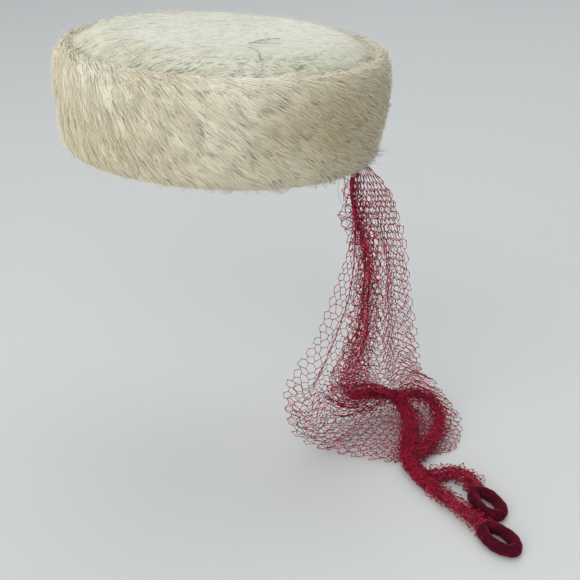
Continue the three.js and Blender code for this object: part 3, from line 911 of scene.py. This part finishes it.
def net_place(across, along):
    """A point of the net: across runs from -1 at the left edge to 1 at the right."""
    at = np.clip(along, 0, 1)
    level = at * (len(VEIL_ROWS) - 1)
    bundle, left, right = (along_rows(veil_place(VEIL_ROWS[:, c]), level) for c in range(3))
    edge = np.where((across < 0)[..., None], left, right)
    pleat = FOLD_DEPTH * bump(at - 0.5, 0.5) * np.sin(FOLD_WAVES * np.pi * across)
    later = along_rows(veil_place(VEIL_ROWS[:, 0]), level + 0.05)
    outward = unit(np.cross(right - left, later - bundle + 1e-6))
    return bundle + (edge - bundle) * np.abs(across)[..., None] + outward * pleat[..., None], outward


# %% Veil: the net, thread by thread
THREAD_WIDTH = 0.42
NET_ROWS = 62
# How unevenly the knots lie, as shares of a cell, and how far the net sways.
UNEVEN_ALONG, UNEVEN_ACROSS, NET_SWAY = 0.13, 0.2, 3.0
# A knot's reach, its ends and its middle, as shares of the thread's width.
KNOT_REACH, KNOT_ENDS, KNOT_MIDDLE = 1.5, 1.2, 2.5
KNOT_TINT = 0.05
NET_FACING, STRAND_FACING = np.array((0.3, -0.8, 0.52)), np.array((0.2, -0.3, 0.93))


def net_layer(across_of_cell, depth, seed, first=0.0, last=1.0):
    """Threads and knots of one layer: across_of_cell are the places of its columns."""
    columns = len(across_of_cell)
    rows = round(NET_ROWS * (last - first))
    row, column = np.meshgrid(np.arange(rows + 1), np.arange(columns), indexing="ij")
    zigzag = np.where((column + row) % 2 == 0, 1 / 6, -1 / 6)
    jitter = np.random.default_rng(seed)
    along = first + (row + zigzag + jitter.normal(0, UNEVEN_ALONG, row.shape)) / NET_ROWS
    across = across_of_cell[column]
    gap = np.gradient(across_of_cell)[column]
    across = across + gap * jitter.normal(0, UNEVEN_ACROSS, row.shape)
    points, outward = net_place(across, along)
    open_share = bump(np.clip(along, 0, 1) - 0.55, 0.6)
    sway = depth + NET_SWAY * slow_noise(across * 6, along * 16, seed + 1)
    points = points + outward * (sway * open_share)[..., None]
    points[..., 2] = np.maximum(points[..., 2], VEIL_FLOOR)
    level = np.stack([points[:, :-1], points[:, 1:]], 2).reshape(-1, 2, 3)
    upright = np.stack([points[:-1], points[1:]], 2)[((column + row) % 2 == 0)[:-1]]
    return np.concatenate([level, upright]), upright


def columns_of(left_cells, middle_cells, right_cells, middle_share):
    """Columns spread evenly over both wings and gathered close in the middle."""
    parts = []
    if left_cells:
        parts.append(np.linspace(-1, -middle_share, 2 * left_cells, endpoint=False))
    parts.append(np.linspace(-middle_share, middle_share, 2 * middle_cells, endpoint=False))
    parts.append(np.linspace(middle_share, 1, 2 * right_cells + 1))
    return np.concatenate(parts)


def net_piece(name, layers):
    """Straight threads between the knots, and a small dark swelling at every knot."""
    threads = np.concatenate([layer[0] for layer in layers])
    uprights = np.concatenate([layer[1] for layer in layers])
    count = len(threads)
    tints = np.repeat(random.uniform(0.1, 1.0, count), 2).reshape(count, 2)
    lines = tube_arrays(threads, np.full((count, 2), THREAD_WIDTH), NET_FACING, False)
    reach = unit(uprights[:, 1] - uprights[:, 0]) * THREAD_WIDTH * KNOT_REACH
    knots = np.stack([uprights[:, 0] - reach * 0.5, uprights[:, 0], uprights[:, 0] + reach], 1)
    sizes = THREAD_WIDTH * np.tile((KNOT_ENDS, KNOT_MIDDLE, KNOT_ENDS), (len(knots), 1))
    balls = tube_arrays(knots, sizes, NET_FACING, False)
    points = np.concatenate([lines[0], balls[0]])
    faces = [*lines[1], *(group + len(lines[0]) for group in balls[1])]
    shades = np.concatenate([tints.ravel()[lines[2]], np.full(len(balls[0]), KNOT_TINT)])
    piece = joined_mesh(name, points, faces, net_material, shades.astype(np.float32))
    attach(piece, "root")
    return piece


# Each layer: its columns, its depth, a seed, and where on the fall it starts and ends.
net = net_piece("veil_net", [
    net_layer(columns_of(9, 3, 9, 0.08), 0.0, 41),
    net_layer(columns_of(0, 3, 9, 0.12), 7.0, 57),
    net_layer(np.linspace(-0.38, 0.22, 19), -3.5, 63),
    net_layer(np.linspace(-0.16, 0.38, 19), 5.0, 71),
    net_layer(np.linspace(0.5, 1.0, 9), 10.0, 75, 0.1, 0.8),
    net_layer(np.linspace(-1.0, -0.1, 17), -9.0, 79, 0.56, 0.95),
    net_layer(np.linspace(-0.95, 0.4, 27), 5.0, 83, 0.68, 0.97),
])
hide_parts("veil")

# %% [markdown]
# ## The gathered net: bundle, rope and tails
#
# Where the net is drawn together its threads lie side by side by the dozen, and some
# cross. All but the hanging bundle have a pleated core. Sleeves of narrow cells lie
# round each part, and strands wander round it.

# %% Gathered parts
BUNDLE_ROWS = np.array([
    # level width thickness turn lie
    (0, 1.14, 0.67, 180, 0),
    (1, 0.86, 0.67, 120, 0),
    (3, 0.57, 0.56, 90, 0),
    (5, 0.71, 0.56, 90, 0),
    (6, 1.0, 0.56, 90, 0.2),
    (7, 0.86, 0.67, 90, 0.8),
    (9, 0.79, 0.67, 90, 1),
    (11, 1.0, 1.0, 90, 1),
])
STRAND_TURNS = 0.6


def gathered_frame(places, level, width, thickness, turn, lie):
    """Middles of a gathered part, and how far it reaches aside and upward there."""
    centre = along_rows(places, level)
    tangent = unit(along_rows(places, level + 0.02) - along_rows(places, level - 0.02))
    upright = np.stack([np.cos(turn), np.sin(turn), np.zeros_like(turn)], -1)
    facing = upright + (np.array((0, 0, 1)) - upright) * lie[:, None]
    wide = unit(np.cross(tangent, facing))
    thick = np.cross(wide, tangent)
    return centre, wide * width[:, None] / 2, thick * thickness[:, None] / 2


def strand_paths(shape, count, seed, tight, wander):
    """Strands over a gathered part, at their own depth, that drift round it."""
    centre, wide, thick = shape
    jitter = np.random.default_rng(seed)
    share = np.linspace(0, 1, len(centre))
    angle = 2 * np.pi * jitter.random((count, 1))
    drift = STRAND_TURNS * 2 * np.pi * (jitter.random((count, 1)) - 0.5) * share
    pace = jitter.uniform(6, 22, (count, 1))
    start = ABOUT_A_TURN * jitter.random((count, 1))
    wobble = wander * np.sin(share * pace + start)
    radius = tight * np.sqrt(jitter.uniform(0.35, 1.0, (count, 1)))
    radius = radius * (1 + 0.12 * np.sin(share * jitter.uniform(9, 30, (count, 1))))
    at = angle + drift + wobble
    side = (np.cos(at) * radius)[..., None] * wide
    rise = (np.sin(at) * radius)[..., None] * thick
    paths = centre + side + rise
    paths[..., 2] = np.maximum(paths[..., 2], VEIL_FLOOR)
    return paths


def net_sleeve(shape, columns, tight, loose, seed):
    """Net drawn in round a gathered part: long narrow cells, all the way round."""
    centre, wide, thick = shape
    jitter = np.random.default_rng(seed)
    row, column = np.meshgrid(np.arange(len(centre)), np.arange(columns), indexing="ij")
    angle = 2 * np.pi * (column + 0.4 * jitter.random(row.shape)) / columns + 0.35 * np.sin(row / 3 + seed)
    swell = tight * (1 + 0.12 * np.sin(row / 2.3 + 2 * angle + seed))
    slope = np.gradient(centre, axis=0)[:, None]
    zigzag = np.where((column + row) % 2 == 0, 0.3, -0.3)[..., None]
    points = centre[:, None] + slope * zigzag
    points = points + (np.cos(angle) * swell)[..., None] * wide[:, None]
    points = points + (np.sin(angle) * swell)[..., None] * thick[:, None]
    points = points + jitter.normal(0, loose, points.shape)
    points[..., 2] = np.maximum(points[..., 2], VEIL_FLOOR)
    level = np.stack([points, np.roll(points, -1, 1)], 2).reshape(-1, 2, 3)
    upright = np.stack([points[:-1], points[1:]], 2)[((column + row) % 2 == 0)[:-1]]
    return np.concatenate([level, upright]), upright


def strand_piece(name, paths, width, seed):
    jitter = np.random.default_rng(seed)
    count, steps = paths.shape[:2]
    tints = 0.2 + 0.7 * jitter.random((count, 1)) * np.ones(steps)
    widths = np.full((count, steps), width) * jitter.uniform(0.75, 1.2, (count, 1))
    piece = piece_of_tubes(name, paths, widths, STRAND_FACING, tints, net_material)
    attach(piece, "root")


def core_piece(name, shape, tight, pleats, sides=36):
    """A closed pleated tube inside a gathered part."""
    centre, wide, thick = shape
    angle = np.arange(sides) / sides * 2 * np.pi
    share = np.linspace(0, 1, len(centre))[:, None]
    fold = 1 - 0.16 * (0.5 + 0.5 * np.cos(pleats * angle + 9 * share))
    ring_wide = (np.cos(angle) * fold * tight)[..., None] * wide[:, None]
    ring_thick = (np.sin(angle) * fold * tight)[..., None] * thick[:, None]
    rings = centre[:, None] + ring_wide + ring_thick
    number = np.arange(len(centre) * sides).reshape(len(centre), sides)
    beside = np.roll(number, -1, 1)
    quads = np.stack([number[:-1], beside[:-1], beside[1:], number[1:]], -1).reshape(-1, 4)
    ends = [number[:1, ::-1], number[-1:]]
    tints = np.tile(0.28 + 0.2 * np.cos(pleats * angle), len(centre)).astype(np.float32)
    piece = joined_mesh(name, rings.reshape(-1, 3), [quads, *ends], net_material, tints)
    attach(piece, "root")


def main_shape(first, last, steps):
    """The frame of the main bundle between two levels."""
    places = veil_place([*VEIL_ROWS[:, 0], *ROPE_PLACES])
    level = np.linspace(first, last, steps)
    read = [np.interp(level, BUNDLE_ROWS[:, 0], BUNDLE_ROWS[:, c]) for c in range(1, 5)]
    return gathered_frame(places, level, read[0] * ROPE_WIDTH, read[1] * ROPE_THICKNESS,
                          np.radians(read[2]), read[3])


def lying_shape(places, width, thickness, steps):
    """The frame of a bundle that lies on the floor."""
    level = np.linspace(0, len(places) - 1, steps)
    whole = np.ones(steps)
    return gathered_frame(np.asarray(places), level, width * whole, thickness * whole, 0 * whole, whole)


# %% The bundle, the rope and the side fold
# A sleeve's numbers: its columns, how far out it lies, and how loosely its knots lie.
ROPE = {
    "core": 0.6, "pleats": 7, "sleeves": ((24, 0.72, 0.3), (22, 0.85, 0.5), (16, 1.02, 0.9)),
    "strands": 34, "tight": 0.95, "wander": 0.35, "strand_width": 0.46,
}
SIDE_FOLD_PART = {
    "core": 0.55, "pleats": 5, "sleeves": ((18, 0.8, 0.4), (14, 1.15, 0.8), (12, 1.6, 1.1)),
    "strands": 16, "tight": 1.1, "wander": 0.5, "strand_width": 0.45,
}
TAIL = {
    "core": 0.3, "pleats": 5, "sleeves": ((13, 0.6, 0.5), (11, 0.95, 0.8), (9, 1.35, 1.2)),
    "strands": 26, "tight": 1.15, "wander": 0.5, "strand_width": 0.4,
}
SIDE_FOLD_WIDTH, SIDE_FOLD_THICKNESS = 9.0, 5.5
TAIL_WIDTH, TAIL_THICKNESS = 11.0, 8.0
LOOSE_START, ROPE_START = 1.6, 7.2
ROPE_END = len(VEIL_ROWS) + len(ROPE_PLACES) - 1


def gathered_part(name, shape, part, seed, shade_seed):
    """A pleated core, sleeves of net round it, and strands over them."""
    core_piece(name + "_core", shape, part["core"], part["pleats"])
    net_piece(name + "_net", [
        net_sleeve(shape, *sleeve, seed + layer) for layer, sleeve in enumerate(part["sleeves"])])
    paths = strand_paths(shape, part["strands"], seed, part["tight"], part["wander"])
    strand_piece(name + "_strands", paths, part["strand_width"], shade_seed)


hanging = main_shape(0, ROPE_START, 44)
net_piece("bundle_net", [
    net_sleeve(hanging, 6, 1.0, 1.0, 5),
    net_sleeve(main_shape(LOOSE_START, ROPE_START, 38), 9, 2.1, 1.6, 6),
])
strand_piece("bundle_strands", strand_paths(hanging, 7, 5, tight=2.0, wander=0.9), 0.38, 6)
gathered_part("rope", main_shape(ROPE_START, ROPE_END, 42), ROPE, 8, 9)
side_fold = lying_shape(veil_place(SIDE_FOLD), SIDE_FOLD_WIDTH, SIDE_FOLD_THICKNESS, 30)
gathered_part("side_fold", side_fold, SIDE_FOLD_PART, 11, 12)

# %% [markdown]
# ## The two tails and their velvet loops
#
# The rope parts into two tails, and each goes into a loop of padded velvet: a fabric
# tube stuffed to a thickness of 9 mm and bent into an oval. Each loop starts as a ring,
# is stretched to its oval, pressed a little flat on the floor, and puckered.

# %% Tails


def loop_middle(loop):
    return veil_place((*loop["middle"], -1)) + (0, 0, LOOP_TUBE / 2)


def loop_end(loop):
    """The place on a loop's ring where its tail goes in."""
    heading = math.radians(loop["heading"] + 180)
    away = (LOOP_LENGTH - LOOP_TUBE) / 2
    return loop_middle(loop) + np.array((math.cos(heading), math.sin(heading), 0)) * away


for name, loop in LOOPS.items():
    places = [*veil_place([ROPE_PLACES[-1], *loop["tail"]]), loop_end(loop)]
    shape = lying_shape(places, TAIL_WIDTH, TAIL_THICKNESS, 24)
    gathered_part(name.replace("velvet_loop", "tail"), shape, TAIL, loop["heading"] + 90, 14)

# %% Velvet loops
velvet = velvet_material()
# The ring is made with a radius of 1 and this tube, and pressed flat by so many millimetres.
RING_TUBE, LOOP_PRESSED = 0.25, 0.3


def velvet_loop(name, loop):
    """A stuffed ring with puckers along its inside and a soft flat underside."""
    middle = loop_middle(loop)
    bpy.ops.object.select_all(action="DESELECT")
    bpy.ops.mesh.primitive_torus_add(
        major_segments=64, minor_segments=20, major_radius=1.0, minor_radius=RING_TUBE)
    piece = bpy.context.object
    piece.name = name + "_velvet"
    places = points_of(piece)
    turn = np.arctan2(places[:, 1], places[:, 0])
    out = np.hypot(places[:, 0], places[:, 1]) - 1
    swell = 1 + 0.05 * np.sin(5 * turn + loop["heading"]) + 0.03 * np.sin(13 * turn)
    swell = swell * (1 - 0.05 * (out < -0.1) * (1 + np.sin(26 * turn)))
    tube = LOOP_TUBE / 2 / RING_TUBE * swell
    reach = np.array(((LOOP_LENGTH - LOOP_TUBE) / 2, (LOOP_WIDTH - LOOP_TUBE) / 2))
    ring = np.stack([np.cos(turn), np.sin(turn)], -1)
    along = unit(np.stack([-reach[0] * np.sin(turn), reach[1] * np.cos(turn)], -1))
    sideways = np.stack([along[:, 1], -along[:, 0]], -1)
    flat = ring * reach + sideways * (out * tube)[:, None]
    heading = math.radians(loop["heading"])
    cos, sin = math.cos(heading), math.sin(heading)
    height = np.maximum(places[:, 2] * tube, -LOOP_TUBE / 2 + LOOP_PRESSED)
    made = np.column_stack([flat[:, 0] * cos - flat[:, 1] * sin,
                            flat[:, 0] * sin + flat[:, 1] * cos, height]) + middle
    set_points(piece, made)
    apply_modifier("SUBSURF", levels=1)
    bpy.ops.object.shade_smooth()
    piece.data.materials.append(velvet)
    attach(piece, "root")
    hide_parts(name)
    print(piece.name, len(piece.data.polygons), "faces")


for name, loop in LOOPS.items():
    velvet_loop(name, loop)
